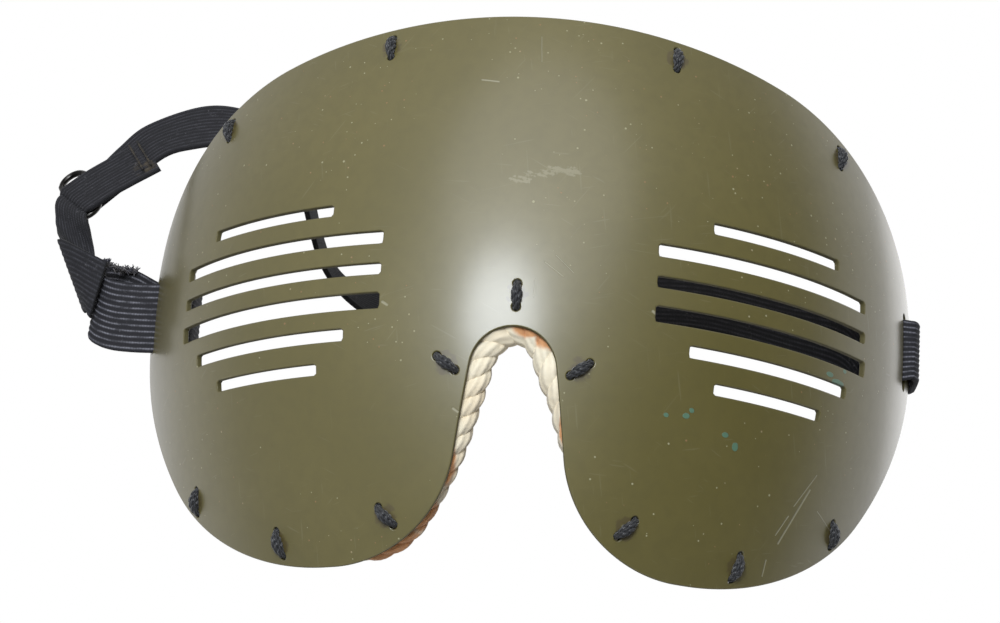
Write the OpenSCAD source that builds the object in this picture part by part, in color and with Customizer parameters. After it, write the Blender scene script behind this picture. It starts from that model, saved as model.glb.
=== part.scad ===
// Flak goggles: a slitted steel eye mask with a sewn rope pad and an elastic headband.
// Upright as worn: +Z is up, the front faces -Y, and +X is the wearer's left.
// The origin lies on the plate's middle plane, midway between the two strap slots.

/* [Steel plate] */
// Thickness of the pressed steel
plate_t = 1.2; // [0.8:0.1:2]
// Radius of the plate's curve round the face, seen from above
plan_radius = 82; // [78:0.5:86]
// Radius of the plate's up-and-down curve at mid height
crown_radius = 150; // [130:1:200]
// Radius of the same curve towards the brow and the cheeks
end_crown_radius = 145; // [110:1:148]
// Height above and below the fullest level at which one curve passes into the other
crown_band = 17; // [15:0.5:20]
// Height of the fullest level above the strap slots
crown_z = -0.6; // [-4:0.1:6]
// Angle of the strap slots round the plate's curve from its middle
slot_angle = 74.43; // [72:0.01:76]
// How far the side edges lie behind the strap slots
side_edge = 10.2; // [8.5:0.1:11.5]

/* [Rim outline seen from the front] */
// Height of the brow edge on the middle plane
brow_z = 51; // [47:0.5:54]
// Radius of the brow edge
brow_radius = 185; // [165:1:200]
// How much narrower the outline is than the plate's curve, on each side
side_tuck = 0.8; // [0.5:0.1:1.2]
// Radius of the shoulder from brow to side
shoulder_radius = 42.7; // [40:0.1:46]
// Radius of the lower side edge
jaw_radius = 82; // [74:1:90]
// Outline angle at which the jaw edge ends
jaw_angle = 121.8; // [118:0.1:125]
// Radius of each cheek lobe on its outer side
cheek_radius = 40.5; // [36:0.5:44]
// Radius of each cheek lobe on the nose side
inner_cheek_radius = 22.7; // [20:0.1:25]
// Length of the flat run under each cheek lobe
lobe_flat = 1.48; // [1:0.02:3]
// Radius of the top of the nose notch
notch_radius = 8.3; // [7.5:0.1:9]
// Depth of the notch curve's centre below the strap slots
notch_drop = 23.7; // [21:0.1:26]

/* [Sight slits] */
// Number of slits on each side
slit_count = 6; // [3:1:6]
// Height of the top slit above the strap slots
slit_top_z = 8.5; // [6:0.1:11]
// Spacing of the slits
slit_pitch = 6.3; // [5:0.1:7]
// Height of each slit from the top one down
slit_heights = [2.2, 2.5, 2.2, 3.1, 2.3, 2.1];
// Distance of each slit's nose end from the middle plane
slit_inner_x = [37, 26.5, 26.5, 26.4, 33.2, 38.2];
// Distance of each slit's outer end from the middle plane
slit_outer_x = [62.5, 68.5, 68.6, 68.7, 64.7, 59.4];

/* [Rope pad] */
// Diameter of the rope
rope_d = 6.35; // [5:0.05:8]
// Clearance between the rope and the plate
rope_gap = 0.15; // [0.1:0.05:0.4]

/* [Thread stitches] */
// Diameter of the waxed thread bundle
thread_d = 1.4; // [1:0.1:1.8]
// Distance between the two holes of a stitch
stitch_pitch = 5.2; // [4.8:0.1:6]
// Clearance round the thread in its holes
hole_gap = 0.35; // [0.2:0.05:0.5]
// Clearance between the thread and what it is wound round
thread_gap = 0.15; // [0.1:0.05:0.3]

/* [Headband] */
// Width of the elastic
band_w = 15; // [12:0.5:18]
// Thickness of the elastic
band_t = 1.3; // [0.9:0.1:1.6]
// Clearance of the elastic in the length of its slot
slot_end_gap = 0.8; // [0.4:0.1:1.5]
// Clearance on each face of the elastic in its slot
slot_side_gap = 0.9; // [0.6:0.1:1.2]
// Clearance where one length of elastic hangs on another
band_gap = 0.35; // [0.2:0.05:0.6]
// How far the left loop stands out past its slot
left_loop_out = 12.2; // [11:0.1:18]
// How far the right loop stands out past its slot
right_loop_out = 3.5; // [3.3:0.1:5]
// Height of the frayed end above the left loop
fray_h = 5; // [3:0.5:8]
// Length of the doubled end at the slide
lap_len = 17; // [12:0.5:24]

/* [Wire slide] */
// Diameter of the slide's wire
wire_d = 1.4; // [1.2:0.1:1.8]
// Spacing of the slide's two bars
bar_spacing = 5.9; // [5.8:0.1:8]
// Clearance between the elastic's edges and the slide's ends
slide_end_gap = 0.8; // [0.5:0.1:1.5]
// Clearance between a slide bar and the elastic folded round it
fold_gap = 0.65; // [0.5:0.05:0.8]

/* [Hidden] */
$fn = 48;
eps = 0.01;
big = 200;

// Plate surface: a plan arc swept on an up-and-down arc.
slot_setback = plan_radius * (1 - cos(slot_angle));
plan_c = [0, plan_radius - slot_setback];
crown_x = plan_radius - crown_radius;
end_crown_x = crown_x + sqrt(crown_radius ^ 2 - crown_band ^ 2)
    - sqrt(end_crown_radius ^ 2 - crown_band ^ 2);
function mid(z) = abs(z - crown_z) < crown_band;
function lean(z) = asin((z - crown_z) / (mid(z) ? crown_radius : end_crown_radius));
function plate_r(z) = mid(z) ? crown_x + crown_radius * cos(lean(z))
    : end_crown_x + end_crown_radius * cos(lean(z));
function angle_at(x, z) = asin(min(1, x / plate_r(z)));
// Point at plan angle a and height z, a given depth below the outer face.
function skin(a, z, depth) =
    let (r = plate_r(z) - depth * cos(lean(z)))
    [r * sin(a), plan_c.y - r * cos(a), z - depth * sin(lean(z))];
function skin_normal(a, z) =
    [sin(a) * cos(lean(z)), -cos(a) * cos(lean(z)), sin(lean(z))];

// Rim outline: tangent arcs seen from the front. The brow runs on until the shoulder
// arc beyond it comes out at the outline's full half width.
half_width = plan_radius - side_tuck;
brow_angle = asin((half_width - shoulder_radius) / (brow_radius - shoulder_radius));
function on_arc(c, r, h) = c + r * [sin(h), cos(h)];
brow_c = [0, brow_z - brow_radius];
shoulder_c = on_arc(brow_c, brow_radius - shoulder_radius, brow_angle);
jaw_c = shoulder_c + [shoulder_radius - jaw_radius, 0];
cheek_c = on_arc(jaw_c, jaw_radius - cheek_radius, jaw_angle);
lobe_z = cheek_c.y - cheek_radius;
inner_c = [cheek_c.x - lobe_flat, lobe_z + inner_cheek_radius];
notch_c = [0, -notch_drop];
// The notch leg is the line that touches the notch curve and the lobe curve.
leg_v = inner_c - notch_c;
leg_dir = atan2(leg_v.y, leg_v.x) - asin((inner_cheek_radius + notch_radius) / norm(leg_v));
leg_end = -leg_dir;
// Rim point at outline angle h: 0 at the brow, 180 under the cheek, then up the lobe's nose side.
function rim_at(h) =
    h <= brow_angle ? on_arc(brow_c, brow_radius, h)
    : h <= 90 ? on_arc(shoulder_c, shoulder_radius, h)
    : h <= jaw_angle ? on_arc(jaw_c, jaw_radius, h)
    : h <= 180 ? on_arc(cheek_c, cheek_radius, h)
    : on_arc(inner_c, inner_cheek_radius, h);
// Outline angles from one to another in equal steps no larger than given.
function steps(h0, h1, most) =
    let (n = ceil(abs(h1 - h0) / most)) [for (i = [0:n - 1]) h0 + (h1 - h0) * i / n];
rim_angles = concat(steps(0, brow_angle, 1), steps(brow_angle, 90, 3), steps(90, jaw_angle, 2),
    steps(jaw_angle, 180, 3), [180], steps(180.001, leg_end + 180, 5), [leg_end + 180]);
half_rim = concat([for (h = rim_angles) rim_at(h)],
    [for (h = steps(leg_end, 0, 9)) on_arc(notch_c, notch_radius, h)]);

// [plan angle, height] of the point a distance d inside the rim at outline angle h.
side_angle = acos((plan_c.y - side_edge) / plan_radius);
degree = plan_radius * PI / 180;
function inset_at(h, d) =
    let (p = rim_at(h), a = min(angle_at(p.x, p.y), side_angle),
         t = unit([cos(h) / cos(a), -sin(h)]))
    [a + d * t.y / degree, p.y - d * t.x];

// Strap slots.
slot_x = plan_radius * sin(slot_angle);
slot_w = band_t + 2 * slot_side_gap;
slot_h = band_w + 2 * slot_end_gap;

// Rope: [outline angle, distance inside the rim] of its centre line from brow to cheek.
rope_depth = plate_t + rope_gap + rope_d / 2;
rope_insets = [[2.5, 4.2], [5.5, 4.4], [8.8, 4.5], [12, 4.6], [16, 4.7], [25, 4.9], [34.5, 5], [43, 4.9],
    [51, 4.8], [59, 4.7], [67, 4.6], [74, 4.4], [80, 4.2], [87, 4], [93, 3.8], [98, 3.7],
    [104, 3.8], [110, 4], [116, 4.1], [122, 4.1], [128, 4], [134.5, 4], [144, 4], [155, 4],
    [161, 4], [167, 4], [173, 4.1], [180, 4.4]];
// The same up the nose side of each lobe.
lobe_insets_right = [[184, 4.6], [200, 5.1], [216, 5.4], [230, 4.6]];
lobe_insets_left = [[182, 4.2], [194, 2.8]];
// [plan angle, height over the notch curve's centre] beside and over the nose, laid out
// for a plate of 82 mm radius and turned to keep their distances on another.
nose_turn = 82 / plan_radius;
nose_right = [[12.1, -19.5], [10.4, -14.5], [9.2, -10.6], [7.9, -5.2], [6, 0.5], [4.6, 4.6], [2.4, 7.9]];
nose_left = [[20.5, -31.4], [17.6, -29.5], [15.1, -26.6], [12.4, -22.4], [9.7, -17.3], [8.2, -12.5],
    [6.9, -7], [5.6, -1.2], [4.8, 3.4], [2.6, 7.8]];
function at_inset(list) = [for (p = list) inset_at(p[0], p[1])];
function at_notch(list) = [for (p = list) [p[0] * nose_turn, p[1] - notch_drop]];
function mirrored(list) = [for (p = list) [-p[0], p[1]]];
function reversed(v) = [for (i = [len(v) - 1:-1:0]) v[i]];
rope_side = at_inset(rope_insets);
rope_right = concat(rope_side, at_inset(lobe_insets_right), at_notch(nose_right));
rope_left = concat(rope_side, at_inset(lobe_insets_left), at_notch(nose_left));
rope_route = concat([inset_at(0, 4.2)], rope_right, [[0, 8.8 - notch_drop]],
    reversed(mirrored(rope_left)));
rope_sides = 10;

// Stitches: [plan angle, height, turn from level, reach to the rope's centre line].
// A reach of 0 means that the rope lies under the middle of the stitch.
function stitch_at(h, d, turn) = concat(inset_at(h, d), [turn, 0]);
nose_top = [0, notch_radius + 6 - notch_drop, -90, 5.4];
nose_side = [angle_at(notch_radius + 4.4, 1 - notch_drop), 1 - notch_drop, -144, 5.2];
nose_side_right_reach = 4.4;
brow = stitch_at(8.8, 4.5, 83);
temple = stitch_at(34.5, 5, 76);
cheek_inner = stitch_at(216, 5.4, -136);
cheek_inner_left_reach = 2.6;
cheek = stitch_at(167, 4, -98);
cheek_outer = stitch_at(134.5, 4, -68);
stitch_side = [brow, temple, nose_side, cheek_inner, cheek, cheek_outer];
thread_r = thread_d / 2;
hole_r = thread_r + hole_gap;
front_h = thread_r + thread_gap;
back_h = -(plate_t + rope_gap + rope_d + thread_gap + thread_r);
wrap_r = rope_d / 2 + thread_gap + thread_r;

// The loop's centre line in plan for the +X side: out through the slot, back past the
// side edge, in behind the rope and forward again.
loop_clear = band_t / 2 + 0.3;
rope_by_slot = skin(inset_at(90, 3.9)[0], 0, rope_depth);
loop_front = -0.2;
loop_in = rope_by_slot.x - rope_d / 2 - loop_clear - 0.6;
loop_back = max(side_edge, rope_by_slot.y + rope_d / 2) + loop_clear + 0.9;
band_hang = band_t / 2 + band_gap;

// Headband: centre line and turn of the elastic's width, from the right loop to the slide.
// Its run is laid out for slots 79 mm out and grows with them.
wide = slot_x / 79;
function across(list) = [for (p = list) [p[0] * wide, p[1] * wide, p[2] * wide, p[3]]];
band_route = concat([[loop_in - band_hang, 8.7, 1, 90]], across([[66, 10.2, 3.5, 90],
    [54, 11.2, 6.5, 90], [37, 11.7, 8.5, 90], [20, 11.7, 9, 88], [4, 11.2, 7.5, 80],
    [-10, 10.7, 5.5, 66], [-22, 10.2, 5, 52], [-32, 9.7, 6.5, 38], [-39.5, 9.2, 10, 27],
    [-44.5, 8.7, 15.5, 20], [-47.5, 8.2, 22.5, 17], [-50, 7.7, 30, 18], [-53.5, 7.2, 37, 24],
    [-59.5, 7.2, 42.3, 34], [-67, 8.2, 44.6, 43], [-76, 10.2, 42.8, 48]]));
// The short length, from the left loop up to the slide: centre and width direction.
short_x = -(slot_x + left_loop_out + band_t / 2 + band_hang + 0.15);
short_route = [for (p = [[0, 7.2, -6], [0, 7.2, 0], [-0.9, 8.2, 6], [-3.4, 10.4, 12],
    [-7, 13.2, 17], [-10.6, 15, 21.5]]) [short_x + p.x * wide, p.y * wide, p.z * wide]];
short_width = [[0, 1, 0], [0, 1, 0], [-0.1, 0.99, 0.08], [-0.22, 0.95, 0.22], [-0.34, 0.84, 0.42],
    [-0.42, 0.7, 0.58]];
// The slide: centre of its lap bar, the way its bars run and the way the doubled end runs.
slide_c = wide * [-98.9, 13.9, 29.9];
function unit(v) = v / norm(v);
bar_dir = unit([0.42, -0.62, -0.66]);
lap_dir = unit(cross(bar_dir, cross([0.84, -0.13, 0.53], bar_dir)));
back_dir = cross(lap_dir, bar_dir);
fold_r = wire_d / 2 + fold_gap + band_t / 2;
lap_gap = 0.6;
lap_end = (band_t + lap_gap) / 2;

// Swept solids.
// A closed ring of sections along a closed route.
module ring_sweep(rings) {
    n = len(rings);
    m = len(rings[0]);
    polyhedron(points = [for (r = rings, p = r) p],
        faces = [for (i = [0:n - 1], j = [0:m - 1], k = [0, 1])
            let (a = i * m + j, b = i * m + (j + 1) % m,
                 c = ((i + 1) % n) * m + (j + 1) % m, d = ((i + 1) % n) * m + j)
            k == 0 ? [a, b, c] : [a, c, d]]);
}
// An open run of sections with flat ends.
module run_sweep(rings) {
    n = len(rings);
    m = len(rings[0]);
    polyhedron(points = [for (r = rings, p = r) p],
        faces = concat(
            [for (i = [0:n - 2], j = [0:m - 1], k = [0, 1])
                let (a = i * m + j, b = i * m + (j + 1) % m,
                     c = (i + 1) * m + (j + 1) % m, d = (i + 1) * m + j)
                k == 0 ? [a, b, c] : [a, c, d]],
            [[for (j = [m - 1:-1:0]) j]],
            [[for (j = [0:m - 1]) (n - 1) * m + j]]));
}
function tangent(P, i) = unit(P[min(i + 1, len(P) - 1)] - P[max(i - 1, 0)]);
// Flat elastic along points P with width directions W.
module elastic(P, W) {
    run_sweep([for (i = [0:len(P) - 1])
        let (w = unit(W[i]), n = unit(cross(tangent(P, i), w)))
        [for (s = [[-1, -1], [-1, 1], [1, 1], [1, -1]])
            P[i] + s[0] * w * band_w / 2 + s[1] * n * band_t / 2]]);
}

// Plate.
module crown_disc(inset) {
    intersection() {
        translate([crown_x, crown_z]) circle(r = crown_radius - inset, $fn = 360);
        translate([end_crown_x, crown_z]) circle(r = end_crown_radius - inset, $fn = 360);
    }
}
module curved_plate() {
    translate([0, plan_c.y, 0]) rotate([0, 0, 180])
        rotate_extrude(angle = 180, $fn = 180)
            intersection() {
                difference() {
                    crown_disc(0);
                    crown_disc(plate_t);
                }
                translate([plan_radius / 3, crown_z - 75]) square([plan_radius, 150]);
            }
}
module rim_outline() {
    n = len(half_rim);
    polygon(concat(half_rim, [for (i = [n - 1:-1:1]) [-half_rim[i].x, half_rim[i].y]]));
}
// One slit's cutter: flat above and below, square to the plate at its ends.
module slit(i, side) {
    z = slit_top_z - i * slit_pitch;
    a0 = angle_at(slit_inner_x[i], z);
    a1 = angle_at(slit_outer_x[i], z);
    translate([0, plan_c.y, z]) rotate([0, 0, side > 0 ? a0 - 90 : -a1 - 90])
        rotate_extrude(angle = a1 - a0, $fn = 180)
            translate([plan_radius - 12, -slit_heights[i] / 2]) square([20, slit_heights[i]]);
}
module strap_slot(side) {
    translate([side * slot_x, 0, 0]) rotate([0, 0, side * slot_angle])
        rotate([90, 0, 0]) {
            for (k = [-1, 1]) translate([0, k * (slot_h - slot_w) / 2, -5])
                cylinder(d = slot_w, h = 10);
            translate([-slot_w / 2, -(slot_h - slot_w) / 2, -5])
                cube([slot_w, slot_h - slot_w, 10]);
        }
}
// Puts its children at a stitch: local x runs along the stitch, local z stands out of the plate.
module at_stitch(s, side) {
    translate(skin(side * s[0], s[1], 0)) rotate([90 - lean(s[1]), 0, side * s[0]])
        rotate([0, 0, side > 0 ? s[2] : 180 - s[2]]) children();
}
module stitch_holes(s, side) {
    at_stitch(s, side) for (k = [-1, 1]) translate([k * stitch_pitch / 2, 0, -4])
        cylinder(r = hole_r, h = 8);
}
module shell() {
    color([0.30, 0.30, 0.16]) difference() {
        intersection() {
            curved_plate();
            translate([0, side_edge, 0]) rotate([90, 0, 0])
                linear_extrude(height = slot_setback + side_edge + 5) rim_outline();
        }
        for (side = [-1, 1]) {
            for (i = [0:slit_count - 1]) slit(i, side);
            strap_slot(side);
            for (s = stitch_side) stitch_holes(s, side);
        }
        stitch_holes(nose_top, 1);
    }
}

// Rope pad.
rope_points = [for (p = rope_route) skin(p[0], p[1], rope_depth)];
rope_out = [for (p = rope_route) skin_normal(p[0], p[1])];
module rope_solid() {
    n = len(rope_points);
    ring_sweep([for (i = [0:n - 1])
        let (t = unit(rope_points[(i + 1) % n] - rope_points[(i + n - 1) % n]),
             u = unit(cross(t, rope_out[i])), v = cross(u, t))
        [for (j = [0:rope_sides - 1])
            let (q = 360 * j / rope_sides)
            rope_points[i] + rope_d / 2 * (cos(q) * u + sin(q) * v)]]);
}
module rim_rope() {
    color([0.85, 0.78, 0.62]) difference() {
        rope_solid();
        needle_hole(nose_top, 1, nose_top[3]);
        needle_hole(nose_side, -1, nose_side[3]);
        needle_hole(nose_side, 1, nose_side_right_reach);
        needle_hole(cheek_inner, -1, cheek_inner_left_reach);
    }
}

// Thread stitches.
module rod(p, q, r) {
    translate([p.x, 0, p.y]) rotate([0, atan2(q.x - p.x, q.y - p.y), 0])
        cylinder(r = r, h = norm(q - p), $fn = 24);
}
module bead(p) {
    translate([p.x, 0, p.y]) sphere(r = thread_r * 1.05, $fn = 24);
}
knee = -plate_t - rope_gap;
// The hole that the needle leaves through the rope on its way back to the far hole.
module needle_hole(s, side, reach) {
    at_stitch(s, side)
        rod([stitch_pitch / 2, knee + 1], [reach, back_h - 1], thread_r + thread_gap);
}
// A stitch whose thread goes round the rope.
module wrapped_stitch(s, side) {
    rim = stitch_pitch / 2;
    low = -plate_t - rope_gap - rope_d / 2;
    turn = asin(rim / wrap_r);
    join = low + wrap_r * cos(turn);
    color([0.08, 0.08, 0.09]) at_stitch(s, side) {
        for (k = [-1, 1]) {
            rod([k * rim, join], [k * rim, front_h], thread_r);
            bead([k * rim, front_h]);
            bead([k * rim, join]);
        }
        rod([-rim, front_h], [rim, front_h], thread_r);
        translate([0, 0, low]) rotate([90, 0, 0]) rotate([0, 0, 90 + turn])
            rotate_extrude(angle = 360 - 2 * turn, $fn = 48)
                translate([wrap_r, 0]) circle(r = thread_r, $fn = 24);
    }
}
// A stitch whose thread is sewn through a rope that lies nearer the rim.
module sewn_stitch(s, side, reach) {
    rim = stitch_pitch / 2;
    path = [[-rim, front_h], [rim, front_h], [rim, knee], [reach, back_h], [-rim, back_h],
        [-rim, front_h]];
    color([0.08, 0.08, 0.09]) at_stitch(s, side)
        for (i = [0:4]) {
            rod(path[i], path[i + 1], thread_r);
            bead(path[i]);
        }
}
module stitch_nose_top() sewn_stitch(nose_top, 1, nose_top[3]);
module stitch_nose_left() sewn_stitch(nose_side, -1, nose_side[3]);
module stitch_nose_right() sewn_stitch(nose_side, 1, nose_side_right_reach);
module stitch_brow_left() wrapped_stitch(brow, -1);
module stitch_brow_right() wrapped_stitch(brow, 1);
module stitch_temple_left() wrapped_stitch(temple, -1);
module stitch_temple_right() wrapped_stitch(temple, 1);
module stitch_cheek_inner_left() sewn_stitch(cheek_inner, -1, cheek_inner_left_reach);
module stitch_cheek_inner_right() wrapped_stitch(cheek_inner, 1);
module stitch_cheek_left() wrapped_stitch(cheek, -1);
module stitch_cheek_right() wrapped_stitch(cheek, 1);
module stitch_cheek_outer_left() wrapped_stitch(cheek_outer, -1);
module stitch_cheek_outer_right() wrapped_stitch(cheek_outer, 1);

// Elastic loops round the side edges.
function loop_path(out, nose) = [[loop_in + 2, loop_front], [slot_x + 1, loop_front],
    [slot_x + out - nose, loop_front + 0.3], [slot_x + out - 0.3 * nose, loop_front + 1.4],
    [slot_x + out, loop_front + 3],
    [slot_x + out, loop_back - 3],
    [slot_x + out - 0.3 * nose, loop_back - 1.5], [slot_x + out - nose, loop_back - 0.3],
    [slot_x + 0.6, loop_back], [loop_in + 2, loop_back], [loop_in + 0.5, loop_back - 1.2],
    [loop_in, loop_back / 2], [loop_in + 0.5, loop_front + 1]];
function closed_normal(P, i) =
    let (n = len(P), d = unit(P[(i + 1) % n] - P[(i + n - 1) % n])) [d.y, -d.x];
module closed_band(P) {
    linear_extrude(height = band_w, center = true) difference() {
        polygon([for (i = [0:len(P) - 1]) P[i] + closed_normal(P, i) * band_t / 2]);
        polygon([for (i = [0:len(P) - 1]) P[i] - closed_normal(P, i) * band_t / 2]);
    }
}
module left_loop() {
    color([0.13, 0.13, 0.14]) mirror([1, 0, 0]) closed_band(loop_path(left_loop_out, 2.4));
}
module right_loop() {
    color([0.17, 0.17, 0.18]) closed_band(loop_path(right_loop_out, 0.9));
}
// The frayed end that sticks up from the left loop, cut ragged.
module left_loop_fray() {
    color([0.2, 0.2, 0.21])
        translate([-slot_x - left_loop_out + 2.4, loop_back, band_w / 2 + band_gap])
            rotate([90, 0, 0]) linear_extrude(height = band_t, center = true)
                polygon([[0, 0], [-0.4, 0.8 * fray_h], [0.8, 0.55 * fray_h], [1.4, fray_h],
                    [2.6, 0.5 * fray_h], [3.8, 0.75 * fray_h], [5, 0.4 * fray_h], [6.2, 0]]);
}

// Headband.
function lap(s, g) = slide_c + s * lap_dir + g * back_dir;
fold_steps = [for (q = [0:30:180]) q];
long_points = concat([for (p = band_route) [p[0], p[1], p[2]]],
    [lap(lap_len, lap_end), lap(0.6 * lap_len, (lap_end + fold_r) / 2), lap(0.3 * lap_len, fold_r)],
    [for (q = fold_steps) lap(-fold_r * sin(q), fold_r * cos(q))],
    [lap(0.3 * lap_len, -fold_r), lap(0.6 * lap_len, -(lap_end + fold_r) / 2),
     lap(lap_len, -lap_end)]);
long_width = concat([for (p = band_route) [0, cos(p[3]), sin(p[3])]],
    [for (i = [0:len(fold_steps) + 5]) -bar_dir]);
module headband_long() {
    color([0.12, 0.12, 0.13]) elastic(long_points, long_width);
}
// The short length folds over the front of the slide's outer bar and ends behind it.
function short_at(s, g) = slide_c - (bar_spacing + s) * lap_dir + g * back_dir;
short_folds = [for (q = [230:-28:90]) short_at(-fold_r * sin(q), fold_r * cos(q))];
short_points = concat(short_route, short_folds, [short_at(-fold_r, 4)]);
short_dirs = concat(short_width, [for (i = [0:len(short_folds)]) -bar_dir]);
module headband_short() {
    color([0.15, 0.15, 0.16]) elastic(short_points, short_dirs);
}
// Rows of thread across the end of the doubled length, on its sloping outer face.
sewing_r = 0.25;
lap_slope = ((lap_end + fold_r) / 2 - lap_end) / (0.4 * lap_len);
module headband_sewing() {
    face = lap_end + band_t / 2 + thread_gap + sewing_r;
    color([0.35, 0.33, 0.24]) for (k = [0, 1])
        let (back = 1.2 + 2 * k,
             a = lap(lap_len - back, -face - back * lap_slope) - bar_dir * (band_w / 2 - 1.5))
        run_sweep([for (e = [0, band_w - 3])
            [for (q = [0:60:300])
                a + e * bar_dir + sewing_r * (cos(q) * lap_dir + sin(q) * back_dir)]]);
}

// Wire slide: a ring of wire with two straight bars and round ends.
module wire_slide() {
    long = band_w / 2 + slide_end_gap;
    half = bar_spacing / 2;
    color([0.1, 0.1, 0.1])
        translate(slide_c - half * lap_dir)
            multmatrix([[lap_dir.x, bar_dir.x, back_dir.x, 0], [lap_dir.y, bar_dir.y, back_dir.y, 0],
                [lap_dir.z, bar_dir.z, back_dir.z, 0], [0, 0, 0, 1]])
                union() {
                    for (sx = [-1, 1]) {
                        translate([sx * half, -long, 0]) rotate([-90, 0, 0])
                            cylinder(d = wire_d, h = 2 * long, $fn = 32);
                        translate([0, sx * long, 0]) rotate([0, 0, sx > 0 ? 0 : 180])
                            rotate_extrude(angle = 180, $fn = 48)
                                translate([half, 0]) circle(d = wire_d, $fn = 32);
                    }
                }
}

shell();
rim_rope();
stitch_nose_top();
stitch_nose_left();
stitch_nose_right();
stitch_brow_left();
stitch_brow_right();
stitch_temple_left();
stitch_temple_right();
stitch_cheek_inner_left();
stitch_cheek_inner_right();
stitch_cheek_left();
stitch_cheek_right();
stitch_cheek_outer_left();
stitch_cheek_outer_right();
left_loop();
left_loop_fray();
right_loop();
headband_short();
headband_long();
headband_sewing();
wire_slide();
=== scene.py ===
# %% [markdown]
# # Flak goggles
# A slitted steel eye mask with a cotton rope sewn round its rim and an elastic headband.
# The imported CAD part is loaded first, as a fixed frame. Everything made here is measured in
# that frame: +Z is up, the front faces -Y, and the origin lies midway between the strap slots.

# %% Load the frame
import math
import bpy
import numpy as np
from mathutils import Matrix, Vector
from mathutils.geometry import delaunay_2d_cdt


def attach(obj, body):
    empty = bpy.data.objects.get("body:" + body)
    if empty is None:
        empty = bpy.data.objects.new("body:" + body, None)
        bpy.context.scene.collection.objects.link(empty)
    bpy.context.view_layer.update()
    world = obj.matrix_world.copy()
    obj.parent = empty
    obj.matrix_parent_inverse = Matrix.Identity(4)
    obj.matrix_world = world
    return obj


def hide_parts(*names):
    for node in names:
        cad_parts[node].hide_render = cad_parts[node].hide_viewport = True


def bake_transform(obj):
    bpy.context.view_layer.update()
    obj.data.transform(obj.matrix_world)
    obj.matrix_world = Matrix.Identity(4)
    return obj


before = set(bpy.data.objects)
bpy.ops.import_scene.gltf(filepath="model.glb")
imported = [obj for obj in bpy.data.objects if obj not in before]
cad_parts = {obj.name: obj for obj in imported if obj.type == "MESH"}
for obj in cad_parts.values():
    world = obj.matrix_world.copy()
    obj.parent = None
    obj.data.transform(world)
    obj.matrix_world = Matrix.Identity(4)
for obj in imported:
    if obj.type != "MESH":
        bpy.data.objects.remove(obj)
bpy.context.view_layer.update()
MM = 0.001
print("CAD nodes:", len(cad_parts))

# %% [markdown]
# ## Small helpers for meshes
# Every finished piece is one plain mesh at the origin. `make_mesh` builds it from arrays in
# millimetres, and can store point attributes for the materials to read. Angles are in degrees.

# %% Mesh helper
def add_object(name, data):
    obj = bpy.data.objects.new(name, data)
    bpy.context.scene.collection.objects.link(obj)
    return obj


def make_mesh(name, points, faces, attributes=None, normals=None):
    data = bpy.data.meshes.new(name)
    data.from_pydata([tuple(p) for p in np.asarray(points, float) * MM], [],
                     [tuple(int(i) for i in f) for f in faces])
    for key, values in (attributes or {}).items():
        layer = data.attributes.new(key, "FLOAT", "POINT")
        layer.data.foreach_set("value", np.asarray(values, np.float32))
    data.shade_smooth()
    if normals is not None:
        data.normals_split_custom_set_from_vertices([tuple(n) for n in normals])
    print(name, len(data.vertices), "points", len(data.polygons), "faces")
    return add_object(name, data)


def unit(v):
    v = np.asarray(v, float)
    return v / np.linalg.norm(v, axis=-1, keepdims=True)


def sin(d):
    return np.sin(np.radians(d))


def cos(d):
    return np.cos(np.radians(d))

# %% [markdown]
# ## The plate's surface
# The steel is curved twice: round the face on one large arc seen from above, and gently from
# brow to cheek. A point on it is named by its plan angle and its height, and `skin` turns
# those two and a depth under the paint into a place. Unrolled, the plate is flat, with `u`
# the arc length from the middle. The rim and its openings are drawn on that flat pattern.

# %% Surface of the plate
PLAN_R, CROWN_R, END_R, BAND, CROWN_Z = 82, 150, 145, 17, -0.6
SLOT_ANGLE, SIDE_EDGE, PLATE_T = 74.43, 10.2, 1.2
PLAN_Y = PLAN_R * math.cos(math.radians(SLOT_ANGLE))
DEGREE = PLAN_R * math.pi / 180
CROWN_X = PLAN_R - CROWN_R
END_X = CROWN_X + math.sqrt(CROWN_R**2 - BAND**2) - math.sqrt(END_R**2 - BAND**2)


def lean(z):
    r = np.where(np.abs(z - CROWN_Z) < BAND, CROWN_R, END_R)
    return np.degrees(np.arcsin((z - CROWN_Z) / r))


def plate_r(z):
    middle = np.abs(z - CROWN_Z) < BAND
    return np.where(middle, CROWN_X + CROWN_R * cos(lean(z)), END_X + END_R * cos(lean(z)))


def skin(a, z, depth):
    a, z, depth = np.broadcast_arrays(np.asarray(a, float), z, depth)
    r = plate_r(z) - depth * cos(lean(z))
    return np.stack([r * sin(a), PLAN_Y - r * cos(a), z - depth * sin(lean(z))], -1)


def skin_normal(a, z):
    a, z = np.broadcast_arrays(np.asarray(a, float), z)
    return np.stack([sin(a) * cos(lean(z)), -cos(a) * cos(lean(z)), sin(lean(z))], -1)


def angle_at(x, z):
    return float(np.degrees(np.arcsin(min(1, x / plate_r(np.float64(z))))))

# %% [markdown]
# The rim is a chain of arcs that touch: brow, shoulder, jaw, cheek lobe, and the nose notch.
# An outline angle of 0 is the middle of the brow and 180 the bottom of a cheek.

# %% Rim outline
def on_arc(c, r, h):
    return np.array(c, float) + r * np.array([sin(h), cos(h)])


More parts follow.
